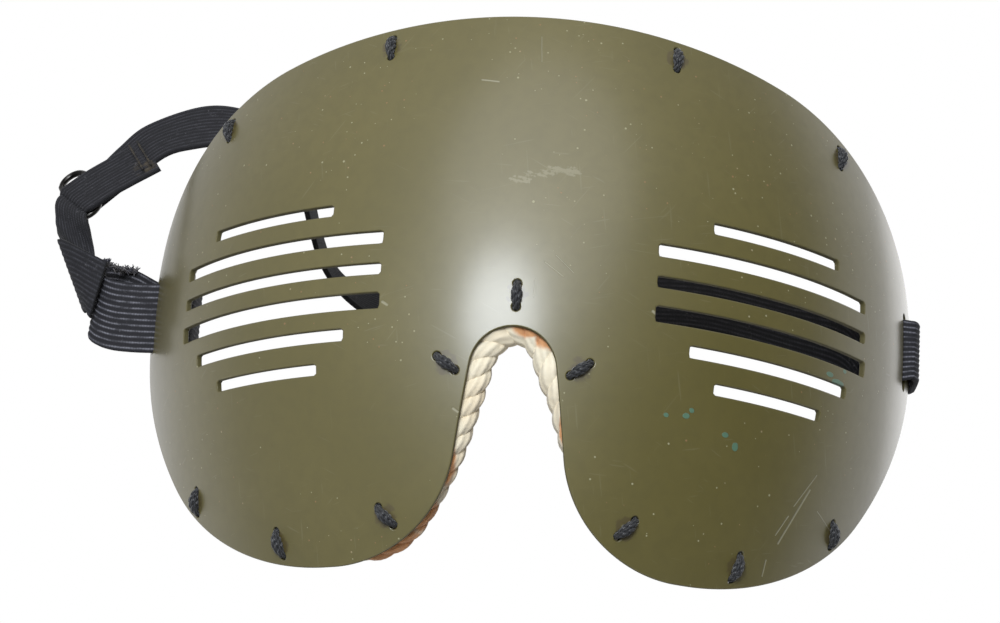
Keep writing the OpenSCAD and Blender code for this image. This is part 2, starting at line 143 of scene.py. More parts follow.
BROW_TOP, NOTCH_Z, INNER_SHIFT = 51.0, -23.7, 1.48
brow_r, half_width = 185, PLAN_R - 0.8
brow_c = np.array([0, BROW_TOP - brow_r])
shoulder_r, jaw_r, jaw_a, cheek_r, inner_r, notch_r = 42.7, 82, 121.8, 40.5, 22.7, 8.3
brow_a = math.degrees(math.asin((half_width - shoulder_r) / (brow_r - shoulder_r)))
shoulder_c = on_arc(brow_c, brow_r - shoulder_r, brow_a)
jaw_c = shoulder_c + [shoulder_r - jaw_r, 0]
cheek_c = on_arc(jaw_c, jaw_r - cheek_r, jaw_a)
lobe_z = cheek_c[1] - cheek_r
inner_c = np.array([cheek_c[0] - INNER_SHIFT, lobe_z + inner_r])
notch_c = np.array([0, NOTCH_Z])
leg = inner_c - notch_c
leg_dir = math.degrees(math.atan2(leg[1], leg[0])
                       - math.asin((inner_r + notch_r) / np.linalg.norm(leg)))
SIDE_ANGLE = math.degrees(math.acos((PLAN_Y - SIDE_EDGE) / PLAN_R))


def rim_at(h):
    for limit, c, r in ((brow_a, brow_c, brow_r), (90, shoulder_c, shoulder_r),
                        (jaw_a, jaw_c, jaw_r), (180, cheek_c, cheek_r)):
        if h <= limit:
            return on_arc(c, r, h)
    return on_arc(inner_c, inner_r, h)


def to_pattern(p):
    return np.array([min(angle_at(p[0], p[1]), SIDE_ANGLE) * DEGREE, p[1]])


def inset_at(h, d):
    p = rim_at(h)
    a = min(angle_at(p[0], p[1]), SIDE_ANGLE)
    t = unit([cos(h) / cos(a), -sin(h)])
    return np.array([a * DEGREE + d * t[1], p[1] - d * t[0]])


def spaced(points, step, closed=True):
    """Even points, about step apart, along a line, and the line's length."""
    p = np.vstack([points, points[:1]]) if closed else points
    s = np.r_[0, np.cumsum(np.linalg.norm(np.diff(p, axis=0), axis=1))]
    t = np.linspace(0, s[-1], round(s[-1] / step), endpoint=not closed)
    return np.stack([np.interp(t, s, p[:, k]) for k in range(p.shape[1])], -1), s[-1]


half = [to_pattern(rim_at(h)) for h in np.r_[np.arange(0, 180, 0.5), 180, 180.01,
                                             np.arange(181, 180 - leg_dir, 1), 180 - leg_dir]]
half += [to_pattern(on_arc(notch_c, notch_r, h)) for h in np.linspace(-leg_dir, 0, 40)]
half = np.array(half)
rim, rim_length = spaced(np.vstack([half, (half * [-1, 1])[-2:0:-1]]), 0.9)
print("rim length", round(rim_length), "mm")

# %% [markdown]
# ## Slits, strap slots and needle holes
# Each opening is a closed loop on the same flat pattern. The slits were punched with slightly
# rounded corners. The stitch holes are round, in pairs.

# %% Openings in the pattern
SLIT_H = (2.2, 2.5, 2.2, 3.1, 2.3, 2.1)
SLIT_IN = (37, 26.5, 26.5, 26.4, 33.2, 38.2)
SLIT_OUT = (62.5, 68.5, 68.6, 68.7, 64.7, 59.4)
SLIT_TOP, SLIT_PITCH = 8.5, 6.3
SLOT_HALF_W, SLOT_HALF_L, SLOT_CORNER = 1.55, 8.3, 1.54
STITCH_PITCH, HOLE_R = 4.5, 0.8


def rounded_box(u0, u1, z0, z1, r):
    out = []
    for cu, cz, start in ((u1 - r, z1 - r, 0), (u0 + r, z1 - r, 90),
                          (u0 + r, z0 + r, 180), (u1 - r, z0 + r, 270)):
        out += [(cu + r * cos(start + q), cz + r * sin(start + q)) for q in range(0, 91, 15)]
    return np.array(out)


def ring(c):
    """A round needle hole at c on the pattern."""
    return np.array([c + HOLE_R * np.array([cos(q), sin(q)]) for q in range(0, 360, 15)])


def stitch_at(h, d, turn):
    """A stitch d inside the rim at outline angle h, turned from level."""
    return tuple(inset_at(h, d)) + (turn,)


nose_top = (0, notch_r + 6 + NOTCH_Z, -90)
nose_side = (angle_at(notch_r + 4.4, 1 + NOTCH_Z) * DEGREE, 1 + NOTCH_Z, -144)
SIDE_STITCHES = {"brow": stitch_at(8.8, 4.5, 83), "temple": stitch_at(34.5, 5, 76),
                 "nose": nose_side, "cheek_inner": stitch_at(216, 5.4, -136),
                 "cheek": stitch_at(167, 4, -98), "cheek_outer": stitch_at(134.5, 4, -68)}

loops = []
for side in (-1, 1):
    for i, h in enumerate(SLIT_H):
        z = SLIT_TOP - i * SLIT_PITCH
        u0, u1 = (angle_at(x, z) * DEGREE for x in (SLIT_IN[i], SLIT_OUT[i]))
        u0, u1 = sorted((side * u0, side * u1))
        loops.append(spaced(rounded_box(u0, u1, z - h / 2, z + h / 2, 0.35), 0.7)[0])
    slot_u = side * SLOT_ANGLE * DEGREE
    loops.append(spaced(rounded_box(slot_u - SLOT_HALF_W, slot_u + SLOT_HALF_W, -SLOT_HALF_L,
                                    SLOT_HALF_L, SLOT_CORNER), 0.5)[0])
    for u, z, turn in SIDE_STITCHES.values():
        step = STITCH_PITCH / 2 * np.array([side * cos(turn), sin(turn)])
        loops += [ring(np.array([side * u, z]) + k * step) for k in (-1, 1)]
loops += [ring(np.array([0, nose_top[1] + k * STITCH_PITCH / 2])) for k in (-1, 1)]
print(len(loops), "openings")

# %% [markdown]
# ## The steel plate
# A boolean cut would leave hard edges and ragged shading. Here the flat pattern is filled
# with triangles (a constrained Delaunay fill), once for the front and once for the back, and
# each edge loop is rolled over in a few small steps, so that pressed edges catch the light.
# The normals are set from the true surface, so the big curves stay perfectly smooth.

# %% Fill the pattern
EDGE, GRID, CLEAR, CHUNK = 0.3, 1.5, 0.5, 400


def turns_left(loop):
    x, y = loop.T
    return (x * np.roll(y, -1) - np.roll(x, -1) * y).sum() > 0


def inward(loop, hole):
    """Unit vectors in the pattern that point from the loop into the steel."""
    t = unit(np.roll(loop, -1, 0) - np.roll(loop, 1, 0))
    n = np.stack([t[:, 1], -t[:, 0]], -1)
    return n if turns_left(loop) == hole else -n


all_loops = [rim] + loops
ways = [inward(lp, i > 0) for i, lp in enumerate(all_loops)]
flat_loops = [lp + EDGE * w for lp, w in zip(all_loops, ways)]
border = np.vstack(flat_loops)


def inside(points, loop):
    x, y = points.T
    hit = np.zeros(len(points), bool)
    for (x0, y0), (x1, y1) in zip(loop, np.roll(loop, -1, 0)):
        if y0 != y1:
            hit ^= ((y0 > y) != (y1 > y)) & (x < (x1 - x0) * (y - y0) / (y1 - y0) + x0)
    return hit


def in_steel(points):
    keep = inside(points, flat_loops[0])
    for lp in flat_loops[1:]:
        near = ((points > lp.min(0)) & (points < lp.max(0))).all(1)
        if near.any():
            keep[np.where(near)[0][inside(points[near], lp)]] = False
    return keep


gu, gz = np.meshgrid(np.arange(-118, 118, GRID), np.arange(-60, 52, GRID))
gu[::2] += GRID / 2
fill = np.stack([gu.ravel(), gz.ravel()], -1)
fill = fill[in_steel(fill)]
near = np.min([np.linalg.norm(fill[:, None] - border[k:k + CHUNK], axis=2).min(1)
               for k in range(0, len(border), CHUNK)], 0)
fill = fill[near > CLEAR]

edges, base = [], 0
for lp in flat_loops:
    n = len(lp)
    edges += [(base + i, base + (i + 1) % n) for i in range(n)]
    base += n
sheet_points = np.vstack([border, fill])
filled, _, sheet_faces, *_ = delaunay_2d_cdt([Vector(p) for p in sheet_points], edges, [], 0,
                                             1e-5)
print("points added by the fill:", [tuple(round(x, 1) for x in p)
                                    for p in filled[len(sheet_points):]])
sheet_faces = np.array([f for f in sheet_faces if len(f) == 3 and max(f) < len(sheet_points)])
sheet_faces = sheet_faces[in_steel(sheet_points[sheet_faces].mean(1))]
corner = sheet_points[sheet_faces]
turn = np.cross(corner[:, 1] - corner[:, 0], corner[:, 2] - corner[:, 0])
sheet_faces = np.where(turn[:, None] > 0, sheet_faces, sheet_faces[:, ::-1])
print("flat pattern:", len(sheet_points), "points,", len(sheet_faces), "triangles")

# %% [markdown]
# The rolled edge is a quarter circle at the front and one at the back, three steps each. The
# attribute `roll` says how far a point is rolled over, and `front` is 0 on the back sheet.

# %% Roll the edges and bend the pattern
def bend(p, depth):
    return skin(p[:, 0] / DEGREE, p[:, 1], depth)


def way_in_space(p, w):
    """Direction in space of a step w on the pattern at p."""
    return unit(bend(p + 0.05 * w, 0) - bend(p - 0.05 * w, 0))


n_sheet = len(sheet_points)
wall = [(EDGE * (1 - sin(q)), EDGE * (1 - cos(q)), q) for q in (30, 60, 90)]
wall += [(EDGE * (1 - sin(q)), PLATE_T - EDGE * (1 - cos(q)), 180 - q) for q in (90, 60, 30)]
points = [bend(sheet_points, 0)]
normal = [skin_normal(sheet_points[:, 0] / DEGREE, sheet_points[:, 1])]
faces = [tuple(f) for f in sheet_faces]
roll, front = [np.zeros(n_sheet)], [np.ones(n_sheet)]
starts, base = [], n_sheet
for lp, w in zip(all_loops, ways):
    rows = []
    for inset, depth, q in wall:
        p = lp + inset * w
        points.append(bend(p, depth))
        up = skin_normal(p[:, 0] / DEGREE, p[:, 1])
        normal.append(unit(cos(q) * up - sin(q) * way_in_space(p, w)))
        roll.append(np.full(len(p), sin(q)))
        front.append(np.ones(len(p)))
        rows.append(base)
        base += len(lp)
    starts.append(rows)
back_start = base
points.append(bend(sheet_points, PLATE_T))
normal.append(-skin_normal(sheet_points[:, 0] / DEGREE, sheet_points[:, 1]))
roll.append(np.zeros(n_sheet))
front.append(np.zeros(n_sheet))
faces += [tuple(f[::-1] + back_start) for f in sheet_faces]

flat_start = 0
for lp, rows in zip(all_loops, starts):
    n = len(lp)
    chain = [flat_start] + rows + [back_start + flat_start]
    forward = turns_left(lp) == (lp is rim)
    for a, b in zip(chain, chain[1:]):
        for i in range(n):
            j = (i + 1) % n
            quad = (a + i, b + i, b + j, a + j)
            faces.append(quad if forward else quad[::-1])
    flat_start += n
plate = make_mesh("steel_plate", np.vstack(points), faces,
                  {"roll": np.concatenate(roll), "front": np.concatenate(front)},
                  np.vstack(normal))

# %% [markdown]
# ## Sums on sockets
# The cords and the finishes are worked out by nodes. Wired by hand, a sum of four terms takes
# many lines. `Sock` wraps one socket, so that sums on it read like plain arithmetic.

# %% Sock
class Sock:
    """One output socket. Arithmetic on it adds Math nodes, and node() adds any other."""

    def __init__(self, tree, socket=None):
        self.tree, self.socket = tree, socket

    def node(self, kind, put=None, get=0, **settings):
        n = self.tree.nodes.new(kind)
        for key, value in settings.items():
            setattr(n, key, value)
        for key, value in (put or {}).items():
            if isinstance(value, Sock):
                self.tree.links.new(value.socket, n.inputs[key])
            else:
                n.inputs[key].default_value = value
        return None if get is None else Sock(self.tree, n.outputs[get])

    def other(self, get):
        """Another output of the same node."""
        return Sock(self.tree, self.socket.node.outputs[get])

    def math(self, op, *others, clamp=False):
        put = dict(enumerate((self, *others)))
        return self.node("ShaderNodeMath", put, operation=op, use_clamp=clamp)

    def vector(self, op, *others, get=0):
        put = dict(enumerate((self, *others)))
        return self.node("ShaderNodeVectorMath", put, get=get, operation=op)

    def scaled(self, factor):
        return self.node("ShaderNodeVectorMath", {0: self, "Scale": factor}, operation="SCALE")

    def __add__(self, o): return self.math("ADD", o)
    def __radd__(self, o): return self.math("ADD", o)
    def __mul__(self, o): return self.math("MULTIPLY", o)
    def __rmul__(self, o): return self.math("MULTIPLY", o)
    def __sub__(self, o): return self.math("SUBTRACT", o)
    def __truediv__(self, o): return self.math("DIVIDE", o)
    def __pow__(self, o): return self.math("POWER", o)
    def __neg__(self): return self.math("MULTIPLY", -1.0)

    def __rsub__(self, o):
        return self.node("ShaderNodeMath", {0: o, 1: self}, operation="SUBTRACT")

# %% [markdown]
# ## Twisted cord with Geometry Nodes
# Rope and thread are made alike: a few strands wound round one centre line. Modelled by hand
# each would be a maze of helices, so one node tree does all of them. It resamples a curve,
# copies it once for each strand, pushes each copy out to a helix round the curve, and gives
# it a round section. The curve's radius swells or thins the whole cord on the way.

# %% Cord tree
cord_tree = bpy.data.node_groups.new("twisted_cord", "GeometryNodeTree")
for title, kind in (("Line", "Geometry"), ("Strands", "Int"), ("Turns", "Float"),
                    ("Strand_radius", "Float"), ("Strand_offset", "Float"),
                    ("Points", "Int"), ("Sides", "Int"), ("Finish", "Material")):
    cord_tree.interface.new_socket(title, in_out="INPUT", socket_type="NodeSocket" + kind)
cord_tree.interface.new_socket("Cord", in_out="OUTPUT", socket_type="NodeSocketGeometry")


def keep(geometry, name, kind, value):
    """Stores value at every point of the geometry, for the materials to read."""
    return geometry.node("GeometryNodeStoreNamedAttribute", {
        "Geometry": geometry, "Name": name, "Value": value}, data_type=kind, domain="POINT")


given = Sock(cord_tree).node("NodeGroupInput")
even = given.node("GeometryNodeResampleCurve", {"Curve": given, "Count": given.other("Points")})
copies = even.node("GeometryNodeDuplicateElements", {
    "Geometry": even, "Amount": given.other("Strands")}, domain="SPLINE")
so_far = given.node("GeometryNodeSplineParameter", get="Factor")
swell, out_way, ahead = (given.node("GeometryNodeInput" + k) for k in ("Radius", "Normal",
                                                                      "Tangent"))
phase = copies.other("Duplicate Index") / given.other("Strands")
angle = (so_far * given.other("Turns") + phase) * (2 * math.pi)
push = given.other("Strand_offset") * swell
step = out_way.scaled(push * angle.math("COSINE")).vector(
    "ADD", ahead.vector("CROSS_PRODUCT", out_way).scaled(push * angle.math("SINE")))
wound = given.node("GeometryNodeSetPosition", {
    "Geometry": keep(copies, "along", "FLOAT", so_far.other("Length")), "Offset": step})
circle = given.node("GeometryNodeCurvePrimitiveCircle", {
    "Resolution": given.other("Sides"), "Radius": given.other("Strand_radius")})
section = keep(circle, "around", "FLOAT_VECTOR", given.node("GeometryNodeInputPosition"))
tube = given.node("GeometryNodeCurveToMesh", {
    "Curve": wound, "Profile Curve": section, "Scale": swell, "Fill Caps": True})
smooth = tube.node("GeometryNodeSetShadeSmooth", {"Geometry": tube})
real = smooth.node("GeometryNodeRealizeInstances", {"Geometry": smooth})
cord = real.node("GeometryNodeSetMaterial", {"Geometry": real,
                                             "Material": given.other("Finish")})
cord.node("NodeGroupOutput", {"Cord": cord}, get=None)
print("cord tree:", len(cord_tree.nodes), "nodes")

# %% [markdown]
# The tree works on a curve, so each cord starts as a thin curve object. Its evaluated form is
# then kept as a plain mesh, and the curve is thrown away.

# %% Make a cord from a centre line
def make_cord(name, path, radii, **settings):
    """A ring of twisted strands along path, in millimetres; radii swell it point by point."""
    curve = bpy.data.curves.new(name + "_line", "CURVE")
    curve.dimensions = "3D"
    spline = curve.splines.new("POLY")
    spline.points.add(len(path) - 1)
    spline.points.foreach_set("co", np.c_[np.asarray(path) * MM, np.ones(len(path))].ravel())
    spline.points.foreach_set("radius", np.broadcast_to(np.asarray(radii, float), len(path)))
    spline.use_cyclic_u = True
    line = add_object(name + "_line", curve)
    mod = line.modifiers.new("cord", "NODES")
    mod.node_group = cord_tree
    for item in cord_tree.interface.items_tree:
        if item.in_out == "INPUT" and item.name in settings:
            mod[item.identifier] = settings[item.name]
    bpy.context.view_layer.update()
    graph = bpy.context.evaluated_depsgraph_get()
    data = bpy.data.meshes.new_from_object(line.evaluated_get(graph))
    data.name = name
    bpy.data.objects.remove(line)
    print(name, len(data.vertices), "points")
    return add_object(name, data)


def smooth_line(points, step, closed):
    """A Catmull-Rom line through the points, resampled evenly."""
    p = np.asarray(points, float)
    n = len(p)
    last = n if closed else n - 1
    out = []
    for i in range(last):
        a, b, c, d = (p[(i + k) % n] if closed else p[min(max(i + k, 0), n - 1)]
                      for k in (-1, 0, 1, 2))
        for s in np.linspace(0, 1, 12, endpoint=False):
            out.append(0.5 * (2 * b + (c - a) * s + (2 * a - 5 * b + 4 * c - d) * s**2
                              + (3 * b - a - 3 * c + d) * s**3))
    if not closed:
        out.append(p[-1])
    return spaced(np.array(out), step, closed)

# %% [markdown]
# ## Rope pad
# Quarter-inch undyed cotton rope, three strands laid together, follows the rim inside the
# plate and shows in the nose notch, where it bulges past the steel to pad the nose.

# %% Rope
ROPE_D, GAP, ROPE_LAY = 6.35, 0.15, 11.5
ROPE_DEPTH = PLATE_T + GAP + ROPE_D / 2
ROPE_INSETS = ((2.5, 4.2), (5.5, 4.4), (8.8, 4.5), (12, 4.6), (16, 4.7), (25, 4.9), (34.5, 5),
               (43, 4.9), (51, 4.8), (59, 4.7), (67, 4.6), (74, 4.4), (80, 4.2), (87, 4),
               (93, 3.8), (98, 3.7), (104, 3.8), (110, 4), (116, 4.1), (122, 4.1), (128, 4),
               (134.5, 4), (144, 4), (155, 4), (161, 4), (167, 4), (173, 4.1), (180, 4.4))
LOBE_RIGHT = ((184, 4.6), (200, 5.1), (216, 5.4), (230, 4.6))
LOBE_LEFT = ((182, 4.0), (194, 2.3))
NOSE_RIGHT = ((12.1, -19.5), (10.4, -14.5), (9.2, -10.6), (7.9, -5.2), (6, 0.5), (4.6, 4.6),
              (2.4, 7.9))
NOSE_LEFT = ((20.0, -32.1), (16.9, -30.1), (14.4, -27.0), (12.0, -22.6), (9.7, -17.3),
             (8.2, -12.5), (6.9, -7), (5.6, -1.2), (4.8, 3.4), (2.6, 7.8))


def half_route(insets, nose):
    """Plan angle and height, from the brow down one side and up into the nose notch."""
    return ([tuple(inset_at(h, d) / [DEGREE, 1]) for h, d in insets]
            + [(a, z + NOTCH_Z) for a, z in nose])


right = half_route(((0, 4.2),) + ROPE_INSETS + LOBE_RIGHT, NOSE_RIGHT)
left = half_route(ROPE_INSETS + LOBE_LEFT, NOSE_LEFT)
route = np.array(right + [(0, 8.8 + NOTCH_Z)] + [(-a, z) for a, z in left[::-1]])
rope_line, rope_length = smooth_line(skin(route[:, 0], route[:, 1], ROPE_DEPTH), 1.0, True)
rope_turns = round(rope_length / ROPE_LAY)
print("rope", round(rope_length), "mm,", rope_turns, "turns")

# %% [markdown]
# ## Ribbed elastic
# Webbing elastic is knitted in lengthwise ribs with a rubber thread in each. A strip is a
# ribbed section carried along a centre line, with half its width given as a vector at every
# point, so that it can turn, lean and fold at a slant. It is flat and of a known width, so it
# is modelled directly.

# %% Strip of elastic
BAND_W, BAND_T, RIBS = 15, 1.3, 12


def tube_faces(rows, sides, start=0, closed=False):
    """Quads between rings of points, with flat ends unless the tube closes on itself."""
    faces = []
    for i in range(rows if closed else rows - 1):
        for j in range(sides):
            a, b = start + i * sides + j, start + i * sides + (j + 1) % sides
            up = sides if i < rows - 1 else -(rows - 1) * sides
            faces.append((a, b, b + up, a + up))
    if not closed:
        faces.append(tuple(range(start, start + sides))[::-1])
        faces.append(tuple(range(start + (rows - 1) * sides, start + rows * sides)))
    return faces


def strip_section(relief):
    """Across (-1 to 1), through, and the rib height from 0 in a groove to 1 on a crest."""
    s = np.linspace(0, 1, RIBS * 6 + 1)
    crest = np.sin(math.pi * RIBS * s) ** 2
    through = BAND_T / 2 - relief * (1 - crest**0.8)
    top = np.stack([2 * s - 1, through, crest], -1)
    bottom = np.stack([1 - 2 * s, -through[::-1], crest[::-1]], -1)
    return np.vstack([top, bottom])


def make_strip(name, centres, halves, step=0.8, closed=False, wobble=0.0, seed=2, relief=0.22):
    line, length = smooth_line(np.hstack([centres, halves]), step, closed)
    c, h = line[:, :3], line[:, 3:]
    if closed:
        t = unit(np.roll(c, -1, 0) - np.roll(c, 1, 0))
    else:
        t = unit(np.gradient(c, axis=0))
    n = unit(np.cross(t, h))
    section = strip_section(relief)
    rng = np.random.default_rng(seed)
    m, k = len(c), len(section)
    turn = np.linspace(0, 2 * math.pi, m)
    waves = sum(rng.normal(0, 1) * np.sin(turn * max(1, round(length / per)) + rng.uniform(0, 6))
                for per in (9, 17, 31))
    c = c + n * (wobble * waves / 2)[:, None]
    pts = (c[:, None] + h[:, None] * section[None, :, 0:1] + n[:, None] * section[None, :, 1:2])
    along = np.repeat(np.linspace(0, length, m), k)
    return make_mesh(name, pts.reshape(-1, 3), tube_faces(m, k, closed=closed),
                     {"rib": np.tile(section[:, 2], m), "along": along,
                      "across": np.tile(section[:, 0], m)})

# %% [markdown]
# ## Loops round the side edges
# Each loop goes in through a strap slot, behind the rope and out past the side edge. The
# right one is short and tight. The left one is larger, and winds upwards as it turns back.

# %% Loops
slot_x = PLAN_R * math.sin(math.radians(SLOT_ANGLE))
rope_by_slot = skin(inset_at(90, 3.9)[0] / DEGREE, 0, ROPE_DEPTH)
loop_in = rope_by_slot[0] - ROPE_D / 2 - BAND_T / 2 - 0.9
loop_back = max(SIDE_EDGE, rope_by_slot[1] + ROPE_D / 2) + BAND_T / 2 + 1.2
x = slot_x + 2.7
right_plan = ((loop_in + 2, -0.2), (slot_x + 1, -0.2), (x - 0.9, 0.1), (x - 0.3, 1.2),
              (x, 2.8), (x, loop_back - 3), (x - 0.3, loop_back - 1.5),
              (x - 0.9, loop_back - 0.3), (slot_x + 0.6, loop_back), (loop_in + 2, loop_back),
              (loop_in + 0.5, loop_back - 1.2), (loop_in, loop_back / 2), (loop_in + 0.5, 0.8),
              (loop_in + 1.7, -0.1))
NARROWED, NARROW_RUN, RISE = 0.16, 3, 3
narrow = [1 - NARROWED * max(0, min(1, (a - loop_in - 2) / NARROW_RUN)) for a, b in right_plan]
right_loop = make_strip("right_loop_elastic",
                        [(a, b, RISE * (1 - s)) for (a, b), s in zip(right_plan, narrow)],
                        np.outer(narrow, (0, 0, BAND_W / 2)), step=0.5, closed=True)
left_turn = ((-73.4, -0.2, -0.3), (-76.5, -0.2, -0.5), (-80, -0.3, -0.7), (-84, -0.35, -0.7),
             (-87.6, -0.2, -0.4), (-90.4, 0.6, 0.6), (-92.1, 2.2, 2.3), (-92.5, 4.2, 4.1),
             (-91.6, 6.3, 5.2), (-89.4, 7.8, 5.5), (-86, 9, 5.0), (-82.2, 11.3, 3.7),
             (-78.5, 12.2, 2.2), (-74.8, 12.2, 0.9), (-72.2, 11.2, 0.2), (-71.3, 8.5, 0),
             (-71.2, 5, 0), (-71.6, 1.4, 0), (-72.3, 0.1, -0.1))
left_lean = ((0, 0, 1),) * 5 + ((0.05, 0, 1), (0.08, 0.05, 1), (0, 0.1, 1), (-0.06, 0.06, 1),
                                (-0.05, 0, 1)) + ((0, 0, 1),) * 9
left_loop = make_strip("left_loop_elastic", left_turn, unit(left_lean) * BAND_W / 2, step=0.5,
                       closed=True, wobble=0.05)

# %% [markdown]
# ## Headband
# One long length runs from the right loop behind the mask, over the left temple and down to
# the wire slide, where it folds back on itself and is sewn. A short length comes down from
# the slide, folds over at a slant and ends, cut and frayed, on the left loop.

# %% Long length
SLOT_X_MEASURED = 79
slide_c = np.array([-98.9, 13.9, 29.9]) * slot_x / SLOT_X_MEASURED
bar_dir = unit([0.42, -0.62, -0.66])
lap_dir = unit(np.cross(bar_dir, np.cross([0.84, -0.13, 0.53], bar_dir)))
back_dir = np.cross(lap_dir, bar_dir)
WIRE_D, BAR_SPACING, LAP = 1.4, 5.9, 17
fold_r = WIRE_D / 2 + 0.5 + BAND_T / 2
lap_end = (BAND_T + 0.25) / 2
ROUTE = ((loop_in - 1, 8.7, 1, 90), (66, 10.2, 5.2, 78), (54, 11.2, 8.0, 66),
         (37, 11.7, 11.7, 62), (20, 11.7, 11.6, 62), (4, 11.2, 8.8, 60), (-10, 10.7, 6.2, 56),
         (-22, 10.2, 5.4, 50), (-32, 9.7, 7, 38), (-39.5, 9.2, 10.5, 27), (-44.5, 8.7, 16, 20),
         (-47.5, 8.2, 23.2, 17), (-50, 7.7, 31, 20), (-53.5, 7.2, 38.4, 29),
         (-59.5, 7.2, 43.6, 41), (-67, 8.2, 46.2, 50), (-76, 10.2, 46.2, 56))
CORNER, NIP = np.array([-2.0, -0.5, -2.5]), 4.8


def lap(s, g):
    return slide_c + s * lap_dir + g * back_dir


folds = [lap(-fold_r * sin(q), fold_r * cos(q)) for q in range(0, 181, 20)]
long_line = [p[:3] for p in ROUTE]
for share, g, lift in ((1, lap_end, 4.4), (0.6, (lap_end + fold_r) / 2, 4.2),
                       (0.3, fold_r, 3.0)):
    long_line.append(lap(share * LAP, g) + (0, 0, lift))
long_line += folds + [lap(0.3 * LAP, -fold_r), lap(0.6 * LAP, -(lap_end + fold_r) / 2),
                      lap(0.85 * LAP, -lap_end - 0.15), lap(LAP, -lap_end)]
long_half = [(0, cos(p[3]), sin(p[3])) for p in ROUTE]
long_half += [-bar_dir] * (len(long_line) - len(ROUTE))
long_line, long_half = np.array(long_line), np.array(long_half) * BAND_W / 2
near = np.clip(1 - (long_line - slide_c) @ lap_dir / LAP, 0, 1)
near[:len(ROUTE)] = 0
back = near * np.clip(0.5 + (long_line - slide_c) @ back_dir / (2 * fold_r), 0, 1)
long_line += near[:, None] * CORNER / 2 - back[:, None] * NIP / 2 * bar_dir
long_half += near[:, None] * CORNER / 2 + back[:, None] * NIP / 2 * bar_dir
headband_long = make_strip("headband_long_elastic", long_line, long_half)

# %% [markdown]
# The short length twists and folds over, so a centre line and a lean would be guesswork. It
# is given by pairs of points on its two edges instead, placed by the photograph from the
# cut end on the loop up to the slide.

# %% Short length
SHORT_EDGES = (((-90.1, -1.6, 10.9), (-92.6, -1.3, -1.5)), ((-93, -0.9, 12.4), (-92.9, -1.1, -1)),
               ((-97.4, 1.2, 14.9), (-93.2, -0.6, -0.2)), ((-101.2, 3.4, 17), (-93.7, 0.2, 0.6)),
               ((-102.2, 4.7, 17.5), (-94.3, 1.6, 0.9)), ((-102.1, 6.2, 18.2), (-93.9, 3.4, 1.6)),
               ((-103.6, 9, 20.3), (-93.6, 6.2, 8.6)), ((-104.8, 11.8, 22.6), (-95, 8, 15.6)),
               ((-105.4, 14.2, 25.6), (-96.4, 8.1, 19.7)), ((-106, 15.5, 29), (-97.5, 7.8, 23)),
               ((-105.4, 16.5, 31), (-98, 9.4, 24.4)), ((-104, 19.2, 31), (-98.4, 12.4, 22.9)),
               ((-104.6, 21.3, 29), (-99.6, 13.8, 20.4)))
short_edges = np.array(SHORT_EDGES)
headband_short = make_strip("headband_short_elastic", short_edges.mean(1),
                            (short_edges[:, 0] - short_edges[:, 1]) / 2, step=0.35, relief=0.1)

# %% [markdown]
# ## Wire slide
# A ring of black wire joins the two lengths. It is one round wire bent into two straight
# bars with round ends, so it is swept along a line of two straights and two half circles.

# %% Slide line
WIRE_BACK, WIRE_OFF, END_HIGH, END_LOW = 0.4, (0.9, 0, 1.9), 4.2, -8.6
wire_c = slide_c - BAR_SPACING / 2 * lap_dir + WIRE_BACK * back_dir + WIRE_OFF
slide_line = []
for end, start_turn in ((END_HIGH, 0), (END_LOW, 180)):
    for q in range(0, 181, 12):
        slide_line.append(wire_c + BAR_SPACING / 2 * cos(start_turn + q) * lap_dir
                          + (end + BAR_SPACING / 2 * sin(start_turn + q)) * bar_dir)

# %% [markdown]
# ## Loose fibres
# Where the elastic was cut, its threads have worked loose and stand up in a tuft.

# %% Tuft of fibres
def make_fibres(name, roots, away, length, radius, count, seed):
    """Thin curled tubes that start along the line roots and lean towards away."""
    rng = np.random.default_rng(seed)
    roots, away = np.asarray(roots, float), unit(away)
    pts, faces, sides, rings = [], [], 5, 8
    for i in range(count):
        s = rng.uniform(0, len(roots) - 1.001)
        p = roots[int(s)] + (s % 1) * (roots[int(s) + 1] - roots[int(s)])
        d = unit(away + rng.normal(0, 0.45, 3))
        size = length * rng.uniform(0.35, 1)
        faces += tube_faces(rings, sides, len(pts))
        curl = rng.normal(0, 0.22, 3)
        for k in range(rings):
            a = unit(np.cross(d, (0.3, 1, 0.2)))
            b = np.cross(d, a)
            r = radius * (1 - 0.6 * k / rings)
            pts += [p + r * (cos(q) * a + sin(q) * b) for q in range(0, 360, 360 // sides)]
            p = p + d * size / rings
            d = unit(d + curl)
    return make_mesh(name, pts, faces)


fray = make_fibres("loop_fray_tuft", [(-90.6, -1.2, 10.6), (-89.6, 1.5, 10.2), (-88.4, 4, 10.4),
                                      (-87, 6.8, 11.3), (-85.6, 8.4, 11.6)],
                   away=(0.1, -0.1, 1), length=2.3, radius=0.19, count=240, seed=7)

# %% [markdown]
# ## Camera
# The camera was fitted to points measured on the photograph: about 0.55 m away, a little to
# the right and 16 degrees below level. Its focal length is in pixels of that picture.

# %% Camera
SENSOR, FOCAL_PIXELS, PICTURE_PIXELS = 36, 2749.06, 1000
cam_data = bpy.data.cameras.new("camera")
cam = add_object("camera", cam_data)
right_way = Vector((0.997582, 0.034546, 0.060301))
up_way = Vector((-0.048133, -0.282433, 0.958079))
ahead = Vector((-0.050129, 0.958665, 0.280088))
cam.matrix_world = Matrix.Translation(Vector((23.005, -555.862, -157.782)) * MM) @ Matrix(
    (right_way, up_way, -ahead)).transposed().to_4x4()
cam_data.sensor_width = SENSOR
cam_data.lens = FOCAL_PIXELS * SENSOR / PICTURE_PIXELS
cam_data.clip_start, cam_data.clip_end = 0.05, 20
bpy.context.scene.camera = cam

